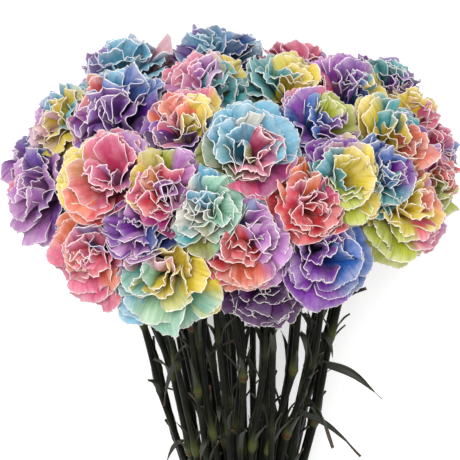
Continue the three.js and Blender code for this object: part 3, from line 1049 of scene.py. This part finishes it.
class CARNATIONS_OT_leaves(bpy.types.Operator):
    """Model the narrow leaves left on the stems"""

    bl_idname = "carnations.leaves"
    bl_label = "Leaves"

    def execute(self, context):
        set_ = sizes()
        rng = np.random.default_rng(set_.seed * 77)
        material = leaf_material()
        pieces = []
        for k in range(1, 4):
            path = cad_leaf_path(f"leaf_{k:02d}")
            shape = blade(path, ALONG + 0.4 * OUT, 8.5 * MM, rng, torn=0.5)
            piece = model_blades(f"long_leaf_{k:02d}", [shape], 0.45 * MM)
            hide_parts(f"leaf_{k:02d}")
            pieces.append(piece)
        for k, (stem, below, turn, length, droop) in enumerate(SMALL_LEAVES):
            places = OUTER_STEMS[stem - 1]
            line, at = even_line(smooth_line(places, 8), 2 * MM)
            here = np.argmin(np.abs(at[-1] - at - below * MM))
            side = aside(math.radians(turn))
            t = np.linspace(0, 1, 9)[:, None]
            run = side * (0.75 * t - 0.2 * t**3) + ALONG * (0.45 * t - droop * t**2)
            path = line[here] + side * 2.4 * MM + length * MM * run
            shape = blade(path, np.cross(side, ALONG), 5.5 * MM, rng)
            pieces.append(model_blades(f"small_leaf_{k + 1:02d}", [shape], 0.45 * MM))
        for piece in pieces:
            piece.data.materials.append(material)
            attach(piece, "root")
        return {"FINISHED"}


class CARNATIONS_OT_rubber_band(bpy.types.Operator):
    """Model the rubber band round the stems"""

    bl_idname = "carnations.rubber_band"
    bl_label = "Rubber band"

    def execute(self, context):
        bpy.ops.object.select_all(action="DESELECT")
        radius = OUTER_RADIUS + 3.45 * MM
        turn = Matrix((ACROSS, np.cross(ALONG, ACROSS), ALONG)).transposed().to_euler()
        operator(
            bpy.ops.mesh.primitive_cylinder_add, vertices=108, radius=radius, depth=6.6 * MM,
            end_fill_type="NOTHING", location=BAND_MIDDLE, rotation=turn,
        )
        piece = bpy.context.object
        piece.name = "stretched_rubber_band"
        operator(bpy.ops.object.transform_apply)
        wall = piece.modifiers.new("Thickness", "SOLIDIFY")
        wall.thickness = 1.4 * MM
        wall.offset = 1
        edge = piece.modifiers.new("Edge", "BEVEL")
        edge.width = 0.45 * MM
        edge.segments = 3
        finish_modifiers(piece)
        # It is drawn in a little between neighbouring stems.
        points = read_points(piece.data)
        offset = points - BAND_MIDDLE
        offset -= np.outer(offset @ ALONG, ALONG)
        angle = np.arctan2(offset @ ACROSS, offset @ OUT)
        first = OUTER_STEMS[0][1] - BAND_MIDDLE
        start = math.atan2(first @ ACROSS, first @ OUT)
        draw = 0.22 * MM * (1 - np.cos(18 * (angle - start)))
        points -= units(offset) * draw[:, None]
        piece.data.vertices.foreach_set("co", points.ravel())
        only(piece)
        bpy.ops.object.shade_smooth_by_angle(angle=math.radians(40))
        piece.data.materials.append(rubber_material())
        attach(piece, "root")
        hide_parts("rubber_band")
        return {"FINISHED"}


CAMERA_AWAY = 1.8  # metres from the middle of the view
VIEW_WIDTH = 0.37  # metres across the view at that distance


class CARNATIONS_OT_stage(bpy.types.Operator):
    """Lay the floor, hang the lights and place the camera"""

    bl_idname = "carnations.stage"
    bl_label = "Stage"

    def execute(self, context):
        scene = context.scene
        bpy.ops.object.select_all(action="DESELECT")
        operator(bpy.ops.mesh.primitive_plane_add, size=8, location=(0, 0, 0))
        floor = context.object
        floor.name = "floor"
        material, _, shader = new_material("pale_floor")
        set_inputs(shader, {"Base Color": (0.92, 0.92, 0.92, 1), "Roughness": 0.9})
        set_inputs(shader, {"Specular IOR Level": 0.1})
        set_inputs(shader, {"Emission Color": (1, 1, 1, 1), "Emission Strength": 0.3})
        floor.data.materials.append(material)

        world = bpy.data.worlds.new("studio")
        world.use_nodes = True
        set_inputs(world.node_tree.nodes["Background"], {"Color": (1, 1, 1, 1), "Strength": 0.78})
        scene.world = world

        to_camera, up = Vector(TO_CAMERA), Vector(IMAGE_UP)
        aim = Vector(DOME_MIDDLE) - up * 36 * MM + Vector((2.5 * MM, 0, 0))
        for name, place, power, size in (
            ("key", aim + Vector((-0.4, 0.7, 1.7)), 30, 1.2),
            ("fill", aim + Vector((1.0, -0.3, 1.5)), 8, 1.4),
        ):
            operator(bpy.ops.object.light_add, type="AREA", location=place)
            light = context.object
            light.name = name
            light.data.energy = power
            light.data.size = size
            light.rotation_euler = (aim - place).to_track_quat("-Z", "Y").to_euler()

        operator(bpy.ops.object.camera_add, location=aim + to_camera * CAMERA_AWAY)
        camera = context.object
        camera.name = "camera"
        camera.data.sensor_width = 36
        camera.data.lens = camera.data.sensor_width * CAMERA_AWAY / VIEW_WIDTH
        back = to_camera.normalized()
        right = up.cross(back).normalized()
        camera.rotation_euler = Matrix((right, back.cross(right), back)).transposed().to_euler()
        scene.camera = camera
        scene.view_settings.view_transform = "Standard"
        return {"FINISHED"}


class CARNATIONS_PT_bunch(bpy.types.Panel):
    bl_label = "Carnation bunch"
    bl_idname = "CARNATIONS_PT_bunch"
    bl_space_type = "VIEW_3D"
    bl_region_type = "UI"
    bl_category = "Carnations"

    def draw(self, context):
        layout = self.layout
        for name in CarnationSizes.__annotations__:
            layout.prop(context.scene.carnation_sizes, name)
        row = layout.grid_flow(columns=3)
        for letter in DYES:
            row.prop(context.scene.carnation_dyes, letter)
        for step in STEPS:
            layout.operator(step)


STEPS = [f"carnations.{step}" for step in ("blooms", "stems", "leaves", "rubber_band", "stage")]
CLASSES = (
    CarnationDyes,
    CarnationSizes,
    CARNATIONS_OT_blooms,
    CARNATIONS_OT_stems,
    CARNATIONS_OT_leaves,
    CARNATIONS_OT_rubber_band,
    CARNATIONS_OT_stage,
    CARNATIONS_PT_bunch,
)


def register():
    for cls in CLASSES:
        bpy.utils.register_class(cls)
    bpy.types.Scene.carnation_dyes = bpy.props.PointerProperty(type=CarnationDyes)
    bpy.types.Scene.carnation_sizes = bpy.props.PointerProperty(type=CarnationSizes)


def unregister():
    del bpy.types.Scene.carnation_dyes
    del bpy.types.Scene.carnation_sizes
    for cls in reversed(CLASSES):
        bpy.utils.unregister_class(cls)


def main():
    register()
    for step in STEPS:
        group, name = step.split(".")
        operator(getattr(getattr(bpy.ops, group), name))


if __name__ == "__main__":
    main()
